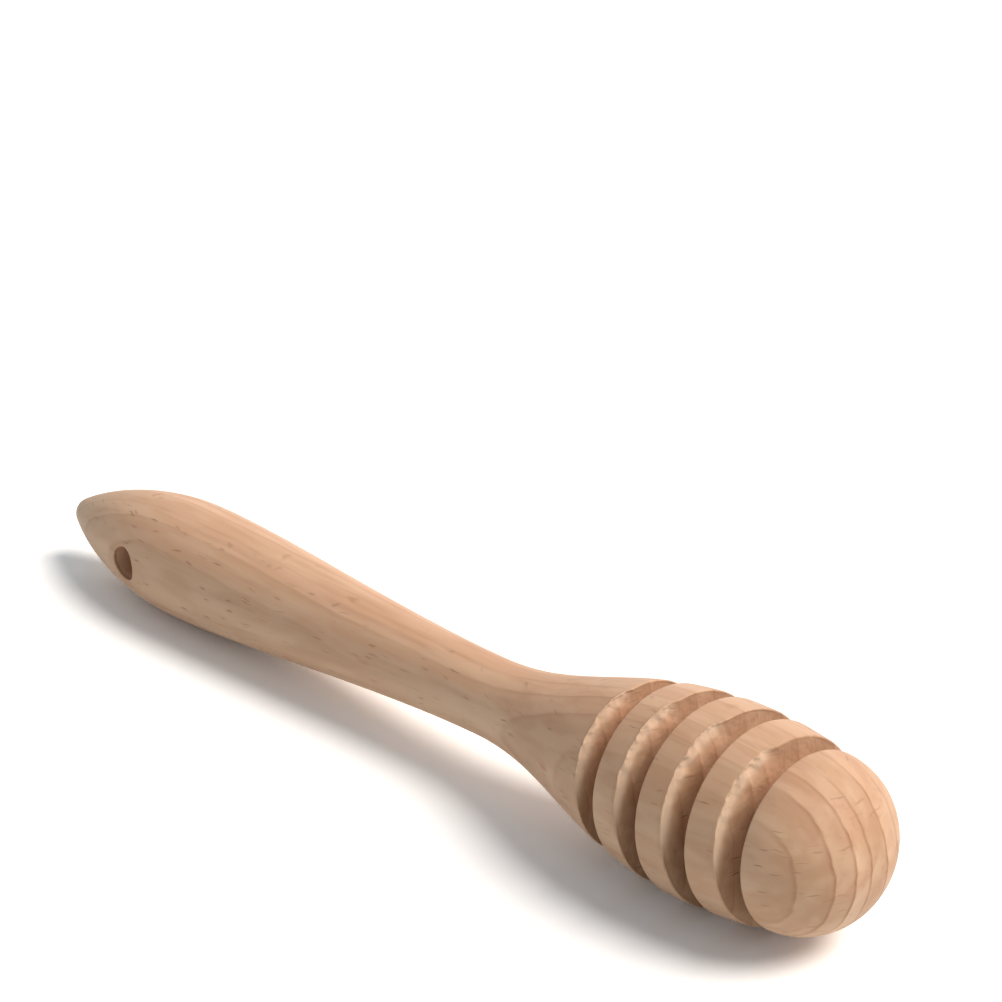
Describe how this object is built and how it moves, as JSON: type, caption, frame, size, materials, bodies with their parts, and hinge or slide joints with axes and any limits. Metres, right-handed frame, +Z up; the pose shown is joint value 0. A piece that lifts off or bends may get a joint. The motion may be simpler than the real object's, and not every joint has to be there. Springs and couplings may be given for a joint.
{
  "type": "honey dipper",
  "caption": "Turned wooden honey dipper with a domed, ribbed head, a slim neck, a swelling grip and a drilled hole near its tail for hanging.",
  "frame": {"origin": "middle of the box of the lying dipper, at the height of the surface that it lies on", "axes": "+X from the nose towards the tail, +Z up, +Y along the hanging hole; the dipper lies at rest on its middle rib and its grip, so its own axis falls 2.61 degrees towards the tail"},
  "size_m": [0.1598, 0.0272, 0.0273],
  "materials": {
    "beech": "fine sanded, unvarnished beech, satin",
    "beech_end_grain": "unsanded beech left by the parting tool, matt"
  },
  "bodies": {
    "root": {"nose": "beech", "groove_core_1": "beech_end_grain", "rib_front": "beech", "groove_core_2": "beech_end_grain", "rib_middle": "beech", "groove_core_3": "beech_end_grain", "rib_rear": "beech", "groove_core_4": "beech_end_grain", "handle": "beech"}
  },
  "joints": []
}
